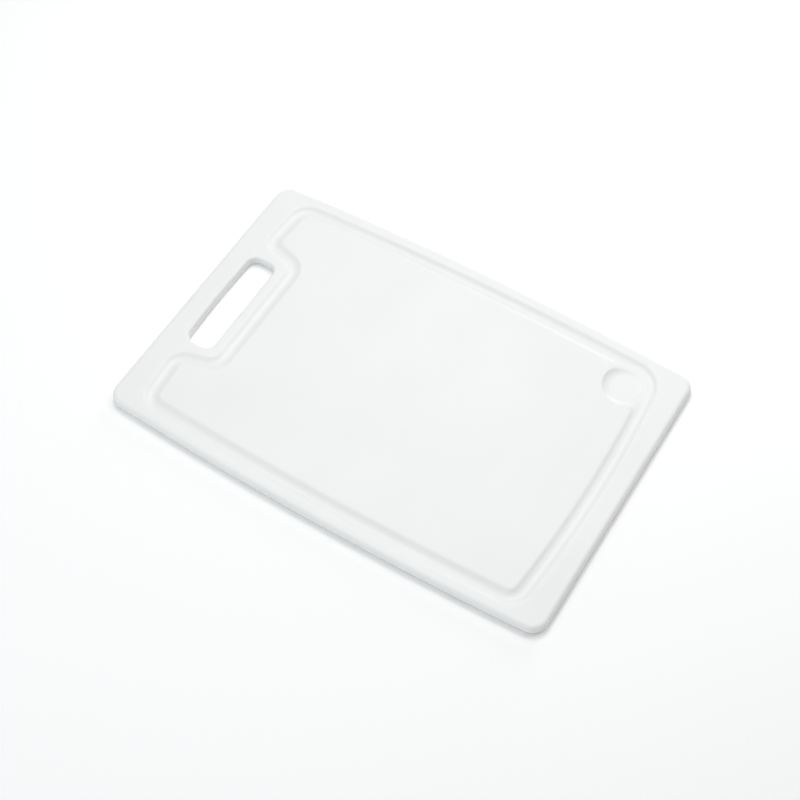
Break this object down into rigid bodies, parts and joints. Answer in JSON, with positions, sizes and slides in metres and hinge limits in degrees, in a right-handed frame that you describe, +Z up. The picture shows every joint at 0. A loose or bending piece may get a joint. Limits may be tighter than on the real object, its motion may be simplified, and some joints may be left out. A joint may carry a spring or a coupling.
{
  "type": "cutting board",
  "caption": "Flat white plastic cutting board with a hand slot at one end, a juice groove round its cutting surface and a round draining well in one corner.",
  "frame": {"origin": "centre of the underside, on the surface that the board lies on", "axes": "+X along the length, away from the hand slot; +Y across the width, towards the long side with the draining well; +Z up out of the cutting surface"},
  "size_m": [0.36, 0.24, 0.008],
  "materials": {
    "board_plastic": "satin, moulded, with a very fine grain on the cutting surface"
  },
  "bodies": {
    "root": {"board": "board_plastic"}
  },
  "joints": []
}
